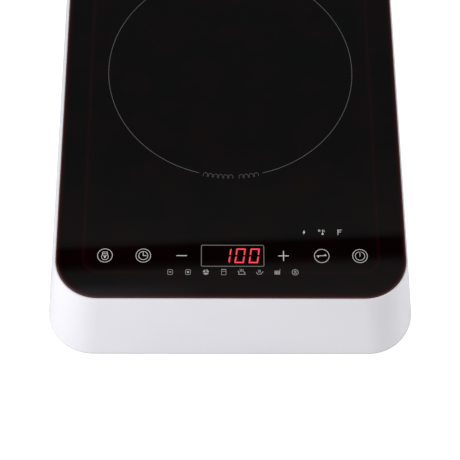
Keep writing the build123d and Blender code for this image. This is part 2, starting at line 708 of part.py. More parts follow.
def winding_loops(centre_x, centre_y, low, high, inner, outer, angles, wire):
    """Loops of wire round a flat ring core, each a rounded frame in an upright plane."""
    width = outer - inner + 2 * wire + 0.4
    height = high - low + 2 * wire + 0.4
    frame = RectangleRounded(width, height, 1.8)
    frame -= RectangleRounded(width - 2 * wire, height - 2 * wire, 0.9)
    middle = ((inner + outer) / 2, 0, (low + high) / 2)
    plane = Plane(origin=middle, x_dir=(1, 0, 0), z_dir=(0, -1, 0))
    loop = extrude(plane * frame, wire / 2, both=True)
    return [Pos(centre_x, centre_y, 0) * (Rot(0, 0, angle) * loop) for angle in angles]


def make_choke_winding():
    return group(winding_loops(
        CHOKE_X, CHOKE_Y, CHOKE_LOW, CHOKE_HIGH, CHOKE_INNER, CHOKE_OUTER, around(18), 1.6,
    ))


FILTER_CHOKE_X = 80.0
FILTER_CHOKE_Y = -78.0
FILTER_CHOKE_INNER = 6.0
FILTER_CHOKE_OUTER = 10.5
FILTER_CHOKE_LOW = BOARD_HIGH + 1.6
FILTER_CHOKE_HIGH = BOARD_HIGH + 10


def make_filter_choke_core():
    ring = tube(
        FILTER_CHOKE_OUTER, FILTER_CHOKE_INNER, FILTER_CHOKE_LOW, FILTER_CHOKE_HIGH,
        FILTER_CHOKE_X, FILTER_CHOKE_Y,
    )
    return fillet(ring.edges(), 0.8)


def make_filter_choke_windings():
    angles = [side + step for side in (0, 180) for step in range(-50, 51, 20)]
    return group(winding_loops(
        FILTER_CHOKE_X, FILTER_CHOKE_Y, FILTER_CHOKE_LOW, FILTER_CHOKE_HIGH,
        FILTER_CHOKE_INNER, FILTER_CHOKE_OUTER, angles, 1.2,
    ))


TRANSFORMER_X = 14.0
TRANSFORMER_Y = -130.0


def make_transformer_core():
    """Two E-shaped ferrite halves as one frame with a middle leg."""
    frame = block(28, 9, BOARD_HIGH + 3, BOARD_HIGH + 23, TRANSFORMER_X, TRANSFORMER_Y)
    for side in (-1, 1):
        window_x = TRANSFORMER_X + side * 7.0
        frame -= block(6.5, 12, BOARD_HIGH + 7, BOARD_HIGH + 19, window_x, TRANSFORMER_Y)
    return frame


def make_transformer_bobbin():
    """Taped winding round the core's middle leg, with its flange and pins."""
    body = slab(19.6, 22, 3, BOARD_HIGH + 7.2, BOARD_HIGH + 18.8, TRANSFORMER_X, TRANSFORMER_Y)
    body -= block(7.8, 9.4, BOARD_HIGH + 6, BOARD_HIGH + 20, TRANSFORMER_X, TRANSFORMER_Y)
    for side in (-1, 1):
        y = TRANSFORMER_Y + side * 8.0
        body += block(19.6, 5, BOARD_HIGH + 3, BOARD_HIGH + 8, TRANSFORMER_X, y)
        for n in range(4):
            body += rod(0.4, BOARD_HIGH, BOARD_HIGH + 4, TRANSFORMER_X + (n - 1.5) * 5, y)
    return body


FUSE_X = 76.0
FUSE_Y = -120.0
FUSE_Z = BOARD_HIGH + 5.6


def make_fuse():
    """Glass tube fuse with a metal cap at each end."""
    along = Rot(0, 90, 0)
    body = along * Cylinder(2.3, 20)
    for side in (-1, 1):
        body += Pos(side * 7.6, 0, 0) * (along * Cylinder(2.6, 5))
    return Pos(FUSE_X, FUSE_Y, FUSE_Z) * body


def make_fuse_clips():
    """Two sprung clips that hold the fuse's caps."""
    clips = []
    for side in (-1, 1):
        x = FUSE_X + side * 7.6
        ring = Rot(0, 90, 0) * (Cylinder(3.4, 4) - Cylinder(2.65, 5))
        ring -= Pos(0, 0, 3) * Box(10, 3.6, 4)
        foot = block(4, 1.2, BOARD_HIGH, FUSE_Z - 2.8, x, FUSE_Y)
        clips.append(Pos(x, FUSE_Y, FUSE_Z) * ring + foot)
    return group(clips)


def make_varistor():
    x, y = 50.0, -102.0
    disc = Pos(x, y, BOARD_HIGH + 9.2) * (Rot(90, 0, 0) * Cylinder(7.2, 4.4))
    disc = fillet(disc.edges().filter_by(GeomType.CIRCLE), 1.4)
    for side in (-1, 1):
        disc += rod(0.45, BOARD_HIGH, BOARD_HIGH + 5, x + side * 3.5, y)
    return disc


def make_buzzer():
    """Round sounder with its hole on top."""
    x, y = -80.0, -134.0
    body = rod(6.0, BOARD_HIGH, BOARD_HIGH + 8.5, x, y)
    body = fillet(body.edges().group_by(Axis.Z)[-1], 0.6)
    return body - rod(1.2, BOARD_HIGH + 5, BOARD_HIGH + 10, x, y)


CHIP_PIN_PITCH = 2.54


def chip(width, depth, height, x, y, pins):
    """Dual-in-line chip with its legs down each side."""
    body = block(width, depth, BOARD_HIGH + 0.8, BOARD_HIGH + height, x, y)
    for n in range(pins):
        pin_x = x + (n - (pins - 1) / 2) * CHIP_PIN_PITCH
        for side in (-1, 1):
            shoulder_y = y + side * (depth / 2 + 0.4)
            leg_y = y + side * (depth / 2 + 0.9)
            body += block(0.6, 1.4, BOARD_HIGH + 1.4, BOARD_HIGH + 1.9, pin_x, shoulder_y)
            body += block(0.6, 0.5, BOARD_HIGH, BOARD_HIGH + 1.9, pin_x, leg_y)
    return body


def make_integrated_circuits():
    return group([
        chip(24, 7, 4.5, -56, -138, 8),
        chip(10, 6.5, 4.5, -46, -124, 4),
        chip(10, 6.5, 4.5, 38, -124, 4),
    ])


RIBBON_X = 62.0
RIBBON_Y = -137.0
RIBBON_TOP_X = 34.0
FAN_PLUG = (-30.0, -57.0)
SENSOR_PLUG = (22.0, -57.0)


def make_board_terminals():
    """Spade tabs for the mains and coil leads, and plug headers for the small leads."""
    pieces = []
    for x in MAINS_TAB_X + COIL_TAB_X:
        tab = block(6.3, 0.8, BOARD_HIGH, BOARD_HIGH + 9, x, TAB_Y)
        pieces.append(tab + block(4, 4, BOARD_HIGH, BOARD_HIGH + 1.5, x, TAB_Y))
    for x, y in (FAN_PLUG, SENSOR_PLUG):
        pieces.append(block(8, 6, BOARD_HIGH, BOARD_HIGH + 8, x, y))
    pieces.append(block(18, 6, BOARD_HIGH, BOARD_HIGH + 8, RIBBON_X, RIBBON_Y))
    return group(pieces)


# ------------------------------------------------------------------ control panel
PANEL_BOARD_WIDTH = 226.0
PANEL_BOARD_DEPTH = 56.0
PANEL_BOARD_Y = -133.0
DISPLAY_WIDTH = 50.3
DISPLAY_DEPTH = 19.0
DISPLAY_TOP = 65.6


def make_control_board():
    board = slab(
        PANEL_BOARD_WIDTH, PANEL_BOARD_DEPTH, 3, PANEL_BOARD_LOW, PANEL_BOARD_HIGH, 0, PANEL_BOARD_Y,
    )
    for side in (-1, 1):
        board += slab(12, 12, 3, PANEL_BOARD_LOW, PANEL_BOARD_HIGH, side * 40, -157)
    for x, y in PANEL_FIXINGS:
        board -= rod(1.6, PANEL_BOARD_LOW - 1, PANEL_BOARD_HIGH + 1, x, y)
    return board


def make_control_board_screws():
    pattern = screw(2.8, 1.9, 1.2, 10)
    return group([Pos(x, y, PANEL_BOARD_HIGH) * pattern for x, y in PANEL_FIXINGS])


def make_display():
    """Four-digit display module standing on the control board, close under the glass."""
    body = block(DISPLAY_WIDTH, DISPLAY_DEPTH, PANEL_BOARD_HIGH, DISPLAY_TOP, PANEL_X, KEY_Y)
    body = chamfer(body.edges().filter_by(Axis.Z), 0.4)
    for n in range(4):
        x = PANEL_X + (n - 1.5) * 12.2
        body -= block(9.6, 15.0, DISPLAY_TOP - 0.3, DISPLAY_TOP + 1, x, KEY_Y)
    return body


def lamp_points():
    return [(x, ICON_Y) for x in ICON_X] + [(x, LAMP_Y) for x in LAMP_X]


def make_indicator_leds():
    return group([
        block(3.2, 1.8, PANEL_BOARD_HIGH, PANEL_BOARD_HIGH + 1.3, x, y) for x, y in lamp_points()
    ])


def make_light_guides():
    """Black blocks with a shaft above each indicator LED, so that one icon lights at a time."""
    rows = [(ICON_X, ICON_Y), (LAMP_X, LAMP_Y)]
    blocks = []
    for row_x, row_y in rows:
        middle = (row_x[0] + row_x[-1]) / 2
        length = row_x[-1] - row_x[0] + 9
        piece = slab(length, 7.6, 1.5, PANEL_BOARD_HIGH, DISPLAY_TOP, middle, row_y)
        for x in row_x:
            piece -= block(6.0, 5.4, PANEL_BOARD_HIGH - 1, DISPLAY_TOP + 1, x, row_y)
        blocks.append(piece)
    return group(blocks)


def make_touch_springs():
    """One spring under each touch field, from the control board up to the glass."""
    return group([
        coil_spring(4.6, 0.35, PANEL_BOARD_HIGH, GLASS_BOTTOM, 4, x, KEY_Y) for x in KEY_X
    ])


# ------------------------------------------------------------------ cooling fan
BEARING_OUTER = 3.4
BEARING_HOLE = 1.54
SHAFT_RADIUS = 1.5
HUB_OUTER = 18.0
HUB_WALL = 1.5
ROTOR_LOW = 17.0
ROTOR_HIGH = 35.0
BLADE_TIP = 42.4
BLADE_COUNT = 7
BLADE_PITCH_ANGLE = 38.0
BLADE_THICKNESS = 1.4
FAN_BORE = 43.6
FAN_SCREW_HOLE = 2.2
STACK_LOW = 18.5
STACK_HIGH = 28.0


def fan_place(shape):
    return Pos(FAN_X, FAN_Y, 0) * shape


def make_fan_frame():
    """Square fan frame with four struts and a bearing tube."""
    frame = slab(FAN_SIZE, FAN_SIZE, 3, FAN_LOW, FAN_HIGH)
    frame -= rod(FAN_BORE, FAN_LOW - 1, FAN_HIGH + 1)
    flange = 3.4
    waist = slab(FAN_SIZE + 2, FAN_SIZE + 2, 1, FAN_LOW + flange, FAN_HIGH - flange)
    frame -= waist - rod(45.6, FAN_LOW, FAN_HIGH)
    frame += rod(17.0, FAN_LOW, FAN_LOW + 2.2)
    for angle in around(4, 20):
        frame += Rot(0, 0, angle) * block(29, 3.2, FAN_LOW, FAN_LOW + 3, 30.5, 0)
    frame += rod(5.0, FAN_LOW, FAN_LOW + 17)
    frame -= rod(BEARING_OUTER, FAN_LOW + 2, FAN_LOW + 18)
    for x, y in FAN_FIXINGS:
        frame -= rod(FAN_SCREW_HOLE, FAN_LOW - 1, FAN_HIGH + 1, x, y)
    return fan_place(frame)


def make_fan_bearing():
    return fan_place(tube(BEARING_OUTER, BEARING_HOLE, FAN_LOW + 3, FAN_LOW + 17))


def make_fan_shaft():
    shaft = rod(SHAFT_RADIUS, FAN_LOW + 2.6, ROTOR_HIGH - 1)
    return fan_place(chamfer(shaft.edges().group_by(Axis.Z)[0], 0.3))


def make_fan_stator():
    """Four-pole lamination stack with its coils, round the bearing tube."""
    stack = tube(8.5, 5.0, STACK_LOW, STACK_HIGH)
    for angle in around(4):
        stack += Rot(0, 0, angle) * block(6, 3.2, STACK_LOW, STACK_HIGH, 10.5, 0)
        stack += tube(14.4, 12.9, STACK_LOW, STACK_HIGH) & (Rot(0, 0, angle) * block(20, 13, 18, 29, 10, 0))
    return fan_place(stack)


def make_fan_magnet():
    return fan_place(tube(HUB_OUTER - HUB_WALL, 15.0, ROTOR_LOW + 1, ROTOR_HIGH - 5))


def make_fan_impeller():
    """Cup-shaped hub with seven pitched blades."""
    hub = rod(HUB_OUTER, ROTOR_LOW, ROTOR_HIGH)
    hub = fillet(hub.edges().group_by(Axis.Z)[-1], 1.6)
    hub -= rod(HUB_OUTER - HUB_WALL, ROTOR_LOW - 1, ROTOR_HIGH - 2)
    hub += rod(3.4, ROTOR_HIGH - 5, ROTOR_HIGH - 1.5)
    zone = tube(BLADE_TIP, HUB_OUTER - 0.8, ROTOR_LOW + 0.6, ROTOR_HIGH - 0.6)
    for angle in around(BLADE_COUNT):
        blade = Rot(BLADE_PITCH_ANGLE, 0, 0) * Box(40, 25, BLADE_THICKNESS)
        blade = Pos(30, 0, (ROTOR_LOW + ROTOR_HIGH) / 2) * blade
        hub += Rot(0, 0, angle) * (blade & zone)
    hub -= rod(SHAFT_RADIUS, ROTOR_LOW - 1, ROTOR_HIGH - 1)
    return fan_place(hub)


GUIDE_TOP = 52.0
GUIDE_FLANGE = 2.0
GUIDE_WALL = 1.5


def make_air_guide():
    """Hood on the fan, open towards the heatsink."""
    hood = slab(FAN_SIZE, FAN_SIZE, 4, FAN_HIGH, GUIDE_TOP)
    inner = FAN_SIZE - 2 * GUIDE_WALL
    hood -= slab(inner, inner, 3, FAN_HIGH - 1, GUIDE_TOP - GUIDE_WALL)
    hood -= block(inner, FAN_SIZE, FAN_HIGH + GUIDE_FLANGE, GUIDE_TOP - GUIDE_WALL, 0, -FAN_SIZE / 2)
    flange = slab(FAN_SIZE, FAN_SIZE, 4, FAN_HIGH, FAN_HIGH + GUIDE_FLANGE)
    hood += flange - rod(FAN_BORE, FAN_HIGH - 1, GUIDE_TOP)
    for x, y in FAN_FIXINGS:
        hood -= rod(FAN_SCREW_HOLE, FAN_HIGH - 1, FAN_HIGH + GUIDE_FLANGE + 1, x, y)
        hood -= rod(3.2, FAN_HIGH + GUIDE_FLANGE, GUIDE_TOP - GUIDE_WALL, x, y)
    return fan_place(hood)


def make_fan_screws():
    pattern = screw(3.0, 2.0, 1.65, 29)
    return group([Pos(FAN_X + x, FAN_Y + y, FAN_HIGH + GUIDE_FLANGE) * pattern for x, y in FAN_FIXINGS])


# ------------------------------------------------------------------ inner leads
def make_mains_leads():
    """Live and neutral, from the terminal block along the right side to the main board."""
    height = TERMINAL_LOW + TERMINAL_BORE_HEIGHT
    routes = []
    for n, (lane, end_x) in enumerate(zip(TERMINAL_POLES[1:], MAINS_TAB_X)):
        routes.append(lead(
            [
                (lane, TERMINAL_Y - 7.5, height),
                (lane, 20, height),
                (lane - 4, -24 + 6 * n, height + 8),
                (end_x + 14, -46, 38),
                (end_x, TAB_Y, 44 - 2 * n),
                (end_x, TAB_Y, BOARD_HIGH + 9),
            ],
            [40, 25, 10, 8],
            1.6,
        ))
    return group(routes)


def make_coil_leads():
    """The winding's two ends, down through the former and forward to the main board."""
    outer_end = lead(
        [
            (0, ZONE_Y - COIL_OUTER, FORMER_HIGH),
            (0, ZONE_Y - COIL_OUTER, 50),
            (COIL_TAB_X[0], TAB_Y, 42),
            (COIL_TAB_X[0], TAB_Y, BOARD_HIGH + 9),
        ],
        [7, 7],
        1.4,
    )
    inner_end = lead(
        [
            (0, ZONE_Y - COIL_INNER, FORMER_HIGH),
            (0, ZONE_Y - COIL_INNER, 50),
            (COIL_TAB_X[1], -42, 50),
            (COIL_TAB_X[1], TAB_Y, 43),
            (COIL_TAB_X[1], TAB_Y, BOARD_HIGH + 9),
        ],
        [8, 9, 7],
        1.4,
    )
    return group([outer_end, inner_end])


def make_fan_lead():
    x, y = FAN_PLUG
    return lead(
        [
            (FAN_X + 45.8, FAN_Y - 30, FAN_LOW + 8),
            (FAN_X + 53, FAN_Y - 38, FAN_LOW + 8),
            (x - 4, -48, FAN_LOW + 18),
            (x, y, BOARD_HIGH + 18),
            (x, y, BOARD_HIGH + 8),
        ],
        [4, 5, 4],
        1.0,
    )


def make_thermistor_lead():
    x, y = SENSOR_PLUG
    return lead(
        [
            (0, ZONE_Y, SENSOR_LOW + 2),
            (0, ZONE_Y, 46),
            (12, ZONE_Y - 20, 46),
            (x, -40, 44),
            (x, y, 40),
            (x, y, BOARD_HIGH + 8),
        ],
        [7, 12, 10, 6],
        1.0,
    )


def make_ribbon_cable():
    """Flat cable from the main board's header up to the control board's header."""
    low = BOARD_HIGH + 8
    high = PANEL_BOARD_LOW - 7
    points = [(RIBBON_X, low), (RIBBON_X, low + 11), (RIBBON_TOP_X, high - 9), (RIBBON_TOP_X, high)]
    path = FilletPolyline(*points, radius=5)
    band = Plane.XZ * trace(path, line_width=0.9)
    ribbon = extrude(Pos(0, RIBBON_Y, 0) * band, 7, both=True)
    header = block(6, 18, high, PANEL_BOARD_LOW, RIBBON_TOP_X, RIBBON_Y)
    return group([ribbon, header])


# ------------------------------------------------------------------ all the pieces
PIECES = {
    "glass_plate": make_glass_plate,
    "glass_seal": make_glass_seal,
    "upper_housing": make_upper_housing,
    "bottom_cover": make_bottom_cover,
    "rubber_feet": make_rubber_feet,
    "housing_screws": make_housing_screws,
    "cord_gland": make_cord_gland,
    "cord_clamp": make_cord_clamp,
    "cord_clamp_screws": make_clamp_screws,
    "mains_terminal_block": make_terminal_block,
    "coil_former": make_coil_former,
    "coil_winding": make_coil_winding,
    "ferrite_bars": make_ferrite_bars,
    "mica_sheet": make_mica_sheet,
    "coil_springs": make_coil_springs,
    "coil_screws": make_coil_screws,
    "thermistor_holder": make_thermistor_holder,
    "thermistor": make_thermistor,
    "main_board": make_main_board,
    "main_board_screws": make_board_screws,
    "heatsink": make_heatsink,
    "power_transistor": make_transistor,
    "bridge_rectifier": make_rectifier,
    "heatsink_screws": make_heatsink_screws,
    "thermal_cutout": make_thermal_cutout,
    "resonant_capacitor": make_resonant_capacitor,
    "filter_capacitor": make_filter_capacitor,
    "interference_capacitor": make_interference_capacitor,
    "electrolytic_capacitors": make_electrolytic_capacitors,
    "smoothing_choke_core": make_choke_core,
    "smoothing_choke_winding": make_choke_winding,
    "filter_choke_core": make_filter_choke_core,
    "filter_choke_windings": make_filter_choke_windings,
    "transformer_core": make_transformer_core,
    "transformer_bobbin": make_transformer_bobbin,
    "fuse": make_fuse,
    "fuse_clips": make_fuse_clips,
    "varistor": make_varistor,
    "buzzer": make_buzzer,
    "integrated_circuits": make_integrated_circuits,
    "board_terminals": make_board_terminals,
    "control_board": make_control_board,
    "control_board_screws": make_control_board_screws,
    "led_display": make_display,
    "indicator_leds": make_indicator_leds,
    "light_guides": make_light_guides,
    "touch_springs": make_touch_springs,
    "fan_frame": make_fan_frame,
    "fan_bearing": make_fan_bearing,
    "fan_stator": make_fan_stator,
    "fan_shaft": make_fan_shaft,
    "fan_magnet": make_fan_magnet,
    "fan_impeller": make_fan_impeller,
    "air_guide": make_air_guide,
    "fan_screws": make_fan_screws,
    "mains_leads": make_mains_leads,
    "coil_leads": make_coil_leads,
    "fan_lead": make_fan_lead,
    "thermistor_lead": make_thermistor_lead,
    "ribbon_cable": make_ribbon_cable,
}

for node, make in PIECES.items():
    export_step(make(), f"parts/{node}.step")
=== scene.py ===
import json
from math import cos, radians, sin, tan

import bmesh
import bpy
from mathutils import Matrix, Vector


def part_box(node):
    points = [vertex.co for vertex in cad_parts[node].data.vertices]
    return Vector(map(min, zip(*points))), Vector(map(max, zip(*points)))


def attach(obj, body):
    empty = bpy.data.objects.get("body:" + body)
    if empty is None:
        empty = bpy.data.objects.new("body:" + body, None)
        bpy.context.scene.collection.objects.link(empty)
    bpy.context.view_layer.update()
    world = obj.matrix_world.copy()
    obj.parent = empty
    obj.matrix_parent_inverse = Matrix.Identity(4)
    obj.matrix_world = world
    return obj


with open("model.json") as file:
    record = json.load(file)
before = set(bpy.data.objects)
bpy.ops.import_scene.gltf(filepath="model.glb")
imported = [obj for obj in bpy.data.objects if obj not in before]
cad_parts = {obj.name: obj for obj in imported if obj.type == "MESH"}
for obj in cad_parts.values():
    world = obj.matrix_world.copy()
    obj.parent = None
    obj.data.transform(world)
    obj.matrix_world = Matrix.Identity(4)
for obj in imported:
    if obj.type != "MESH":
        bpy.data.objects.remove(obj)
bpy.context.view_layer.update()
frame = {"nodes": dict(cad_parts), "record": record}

MM = 0.001
BODY = "base"

# ------------------------------------------------------------------ places, from the frame
GLASS_LOW, GLASS_HIGH = (Vector(corner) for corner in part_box("glass_plate"))
DISPLAY_LOW, DISPLAY_HIGH = (Vector(corner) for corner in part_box("led_display"))
ZONE_LOW, ZONE_HIGH = (Vector(corner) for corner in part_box("mica_sheet"))
GLASS_TOP = GLASS_HIGH.z
GLASS_FRONT = GLASS_LOW.y
GLASS_MIDDLE = (GLASS_LOW + GLASS_HIGH) / 2
PANEL_X = (DISPLAY_LOW.x + DISPLAY_HIGH.x) / 2
KEY_Y = (DISPLAY_LOW.y + DISPLAY_HIGH.y) / 2
ZONE_Y = (ZONE_LOW.y + ZONE_HIGH.y) / 2

# ------------------------------------------------------------------ camera, angles in degrees
CAMERA_ELEVATION = 63.0
CAMERA_AZIMUTH = -1.633
CAMERA_ROLL = 1.601
CAMERA_DISTANCE = 1.1825
CAMERA_LENS = 114.8           # millimetres
CAMERA_REACH = 50.0
CAMERA_TARGET = Vector((-0.9 * MM, GLASS_FRONT + 59.6 * MM, GLASS_TOP))     # between keys and zone


def make_camera():
    elevation = radians(CAMERA_ELEVATION)
    azimuth = radians(CAMERA_AZIMUTH)
    roll = radians(CAMERA_ROLL)
    back = Vector((sin(azimuth) * cos(elevation), -cos(azimuth) * cos(elevation), sin(elevation)))
    level = Vector((cos(azimuth), sin(azimuth), 0.0))
    above = back.cross(level)
    right = cos(roll) * level + sin(roll) * above
    up = cos(roll) * above - sin(roll) * level
    camera = bpy.data.objects.new("camera", bpy.data.cameras.new("camera"))
    camera.data.lens = CAMERA_LENS
    camera.data.clip_end = CAMERA_REACH
    turn = Matrix((right, up, back)).transposed().to_4x4()
    camera.matrix_world = Matrix.Translation(CAMERA_TARGET + back * CAMERA_DISTANCE) @ turn
    bpy.context.scene.collection.objects.link(camera)
    bpy.context.scene.camera = camera


# ------------------------------------------------------------------ node helpers
class Graph:
    """A node tree with short helpers. A value is a number, a colour or another node's output."""

    def __init__(self, tree):
        self.nodes = tree.nodes
        self.links = tree.links

    def node(self, kind, **settings):
        made = self.nodes.new(kind)
        for key, value in settings.items():
            setattr(made, key, value)
        return made

    def feed(self, socket, value):
        if isinstance(value, (int, float)):
            socket.default_value = value
        elif isinstance(value, tuple):
            socket.default_value = (*value, 1.0)
        else:
            self.links.new(value, socket)

    def math(self, operation, first, second=None, third=None, clamp=False):
        made = self.node("ShaderNodeMath", operation=operation, use_clamp=clamp)
        for socket, value in zip(made.inputs, (first, second, third)):
            if value is not None:
                self.feed(socket, value)
        return made.outputs[0]

    def axes(self, vector):
        """The X, Y and Z outputs of a vector."""
        made = self.node("ShaderNodeSeparateXYZ")
        self.links.new(vector, made.inputs[0])
        return made.outputs

    def ramp(self, factor, stops):
        made = self.node("ShaderNodeValToRGB")
        ramp = made.color_ramp
        ramp.elements[0].position, ramp.elements[0].color = stops[0][0], (*stops[0][1], 1.0)
        ramp.elements[1].position, ramp.elements[1].color = stops[-1][0], (*stops[-1][1], 1.0)
        for position, colour in stops[1:-1]:
            ramp.elements.new(position).color = (*colour, 1.0)
        self.links.new(factor, made.inputs["Fac"])
        return made.outputs["Color"]

    def mix(self, factor, first, second, blend="MIX"):
        made = self.node("ShaderNodeMix", data_type="RGBA", blend_type=blend)
        colours = [socket for socket in made.inputs if socket.type == "RGBA"]
        self.feed(made.inputs["Factor"], factor)
        self.feed(colours[0], first)
        self.feed(colours[1], second)
        return [socket for socket in made.outputs if socket.type == "RGBA"][0]


class Recipe(Graph):
    """A Principled material, patterned in object space."""

    def __init__(self, name, base, roughness, metallic=0.0):
        self.material = bpy.data.materials.new(name)
        self.material.use_nodes = True
        super().__init__(self.material.node_tree)
        self.shader = self.nodes["Principled BSDF"]
        self.put("Base Color", base)
        self.put("Roughness", roughness)
        self.put("Metallic", metallic)
        self.place = self.node("ShaderNodeTexCoord").outputs["Object"]

    def put(self, socket, value):
        self.feed(self.shader.inputs[socket], value)

    def vector(self, operation, first, second=None):
        made = self.node("ShaderNodeVectorMath", operation=operation)
        self.links.new(first, made.inputs[0])
        if second is not None:
            made.inputs[1].default_value = second
        return made.outputs["Value"] if operation == "LENGTH" else made.outputs["Vector"]

    def noise(self, scale, detail=3.0, stretch=(1.0, 1.0, 1.0)):
        mapping = self.node("ShaderNodeMapping")
        mapping.inputs["Scale"].default_value = stretch
        self.links.new(self.place, mapping.inputs["Vector"])
        made = self.node("ShaderNodeTexNoise")
        made.inputs["Scale"].default_value = scale
        made.inputs["Detail"].default_value = detail
        self.links.new(mapping.outputs["Vector"], made.inputs["Vector"])
        return made.outputs["Fac"]

    def fade(self, distance, reach):
        """1 where the distance is 0, falling to 0 at the reach."""
        return self.math("SUBTRACT", 1.0, self.math("DIVIDE", distance, reach), clamp=True)

    def roughness(self, factor, low, high):
        self.put("Roughness", self.math("MULTIPLY_ADD", factor, high - low, low))

    def bump(self, height, strength, distance=0.2 * MM):
        made = self.node("ShaderNodeBump")
        made.inputs["Strength"].default_value = strength
        made.inputs["Distance"].default_value = distance
        self.links.new(height, made.inputs["Height"])
        self.links.new(made.outputs["Normal"], self.shader.inputs["Normal"])


def shade(colour, factor):
    return tuple(channel * factor for channel in colour)


DRIFT_SCALE = 0.05           # the colour drifts this much more slowly than the grain
DRIFT = 0.03
GLOSS_SPREAD = 0.15


def make_plain(name, base, roughness, grain, bump, metallic):
    """Moulded or drawn material: slight colour drift, uneven gloss and a fine surface grain."""
    made = Recipe(name, base, roughness, metallic)
    drift = made.noise(scale=grain * DRIFT_SCALE, detail=2.0)
    made.put("Base Color", made.ramp(drift, [(0.3, shade(base, 1 - DRIFT)), (0.7, shade(base, 1 + DRIFT))]))
    fine = made.noise(grain)
    made.roughness(fine, roughness * (1 - GLOSS_SPREAD), roughness * (1 + GLOSS_SPREAD))
    made.bump(fine, bump)
    return made.material


# ------------------------------------------------------------------ the materials you see
GLASS_CORNER = 34.5 * MM
GLASS_IOR = 1.5
GLASS_DARK = (0.0016, 0.0003, 0.0004)
GLASS_CLOUD = (0.0036, 0.0004, 0.0006)
GLASS_POLISH = 0.022         # roughness where the top face is at its dullest
SHELF_INSET = 22.0 * MM      # painted shade: a faint dark red line where the housing's ledge would show through the glass
SHELF_LINE = 2.2 * MM
SHELF_SHADE_RED = (0.013, 0.0010, 0.0014)
# painted glow of dark red just inside the glass's rim
RIM_GLOW = 5.0 * MM
RIM_FALL = 2.2
RIM_GLOW_RED = (0.034, 0.003, 0.0028)
EDGE_GAIN = 1.4              # how soon the rounded edge counts as edge
EDGE_BROWN = (0.085, 0.030, 0.020)
EDGE_SATIN = 0.4             # roughness that the ground edge adds
EDGE_DULLING = 0.35
SPECULAR = 0.5


def make_black_glass():
    """Near-black ceramic glass with a dark red body, brown and satin at its ground edge; a painted shade
    line and a painted red glow lie inside its rim.
    """
    made = Recipe("black_glass", GLASS_DARK, GLASS_POLISH)
    made.put("IOR", GLASS_IOR)
    body = made.ramp(made.noise(scale=28.0, detail=4.0), [(0.35, GLASS_DARK), (0.65, GLASS_CLOUD)])

    # distance inside the glass's rounded outline
    centred = made.vector("SUBTRACT", made.place, tuple(GLASS_MIDDLE))
    folded = made.vector("ABSOLUTE", centred)
    half = (GLASS_HIGH - GLASS_LOW) / 2
    inner = (half.x - GLASS_CORNER, half.y - GLASS_CORNER, 1.0)
    beyond = made.vector("MAXIMUM", made.vector("SUBTRACT", folded, inner), (0.0, 0.0, 0.0))
    depth = made.math("SUBTRACT", GLASS_CORNER, made.vector("LENGTH", beyond))

    # painted shade line of the ledge, as seen through the glass
    from_shelf = made.math("ABSOLUTE", made.math("SUBTRACT", depth, SHELF_INSET))
    line = made.math("MULTIPLY", made.fade(from_shelf, SHELF_LINE), made.noise(scale=35.0, detail=2.0))
    body = made.mix(line, body, SHELF_SHADE_RED)

    # painted glow: light caught in the glass, painted dark red just inside its rim
    body = made.mix(made.math("POWER", made.fade(depth, RIM_GLOW), RIM_FALL), body, RIM_GLOW_RED)

    normal = made.axes(made.node("ShaderNodeNewGeometry").outputs["Normal"])
    edge = made.math("SUBTRACT", 1.0, made.math("ABSOLUTE", normal["Z"]), clamp=True)
    edge = made.math("MULTIPLY", edge, EDGE_GAIN, clamp=True)
    made.put("Base Color", made.mix(edge, body, EDGE_BROWN))
    smear = made.noise(scale=9.0, stretch=(1.0, 0.6, 1.0))
    polish = made.math("MULTIPLY", smear, GLASS_POLISH)
    made.put("Roughness", made.math("MULTIPLY_ADD", edge, EDGE_SATIN, polish))
    made.put("Specular IOR Level", made.math("MULTIPLY_ADD", edge, -EDGE_DULLING, SPECULAR))
    return made.material


WHITE = (0.80, 0.795, 0.845)
WHITE_HIGH = (0.81, 0.805, 0.85)
# painted shade: the lowest few millimetres of the housing are darkened in its colour, for the shade at its
# foot
FOOT_SHADE_COLOUR = (0.40, 0.37, 0.35)
FOOT_SHADE_STRENGTH = 0.8
FOOT_SHADE_HEIGHT = 3.0 * MM
HOUSING_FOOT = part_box("upper_housing")[0][2]


def make_white_plastic():
    """Glossy white moulding with a faint orange peel, and painted shade darkening its bottom edge."""
    made = Recipe("white_plastic", WHITE, 0.3)
    skin = made.ramp(made.noise(scale=14.0, detail=2.0), [(0.35, shade(WHITE, 0.985)), (0.65, WHITE_HIGH)])
    # painted shade, darker towards the housing's foot
    above_foot = made.math("SUBTRACT", made.axes(made.place)["Z"], HOUSING_FOOT)
    foot_shade = made.math("MULTIPLY", made.fade(above_foot, FOOT_SHADE_HEIGHT), FOOT_SHADE_STRENGTH)
    made.put("Base Color", made.mix(foot_shade, skin, FOOT_SHADE_COLOUR))
    made.roughness(made.noise(scale=60.0), low=0.26, high=0.34)
    made.bump(made.noise(scale=700.0, detail=2.0), strength=0.04, distance=0.05 * MM)
    made.put("Coat Weight", 0.25)
    made.put("Coat Roughness", 0.12)
    return made.material


def make_print(name, colour):
    """Fired enamel print on the glass, with a fine grain."""
    made = Recipe(name, colour, 0.45)
    grain = made.noise(scale=2600.0, detail=2.0)
    made.put("Base Color", made.ramp(grain, [(0.3, shade(colour, 0.90)), (0.7, shade(colour, 1.06))]))
    made.bump(grain, strength=0.08, distance=0.02 * MM)
    return made.material


LED_UNLIT = (0.2, 0.01, 0.012)
LED_LIT = (1.0, 0.055, 0.085)
LED_LIT_LOW = (0.92, 0.045, 0.07)
LED_STRENGTH = 1.1


def make_digit_glow():
    """Lit LED segments, a little uneven."""
    made = Recipe("digit_glow", LED_UNLIT, 0.4)
    cells = made.noise(scale=900.0, detail=1.0)
    made.put("Emission Color", made.ramp(cells, [(0.2, LED_LIT_LOW), (0.8, LED_LIT)]))
    made.put("Emission Strength", LED_STRENGTH)
    return made.material


SOLDER_MASK = (0.030, 0.150, 0.065)
SOLDER_MASK_HIGH = (0.036, 0.175, 0.075)
TRACK_GREEN = (0.018, 0.085, 0.040)


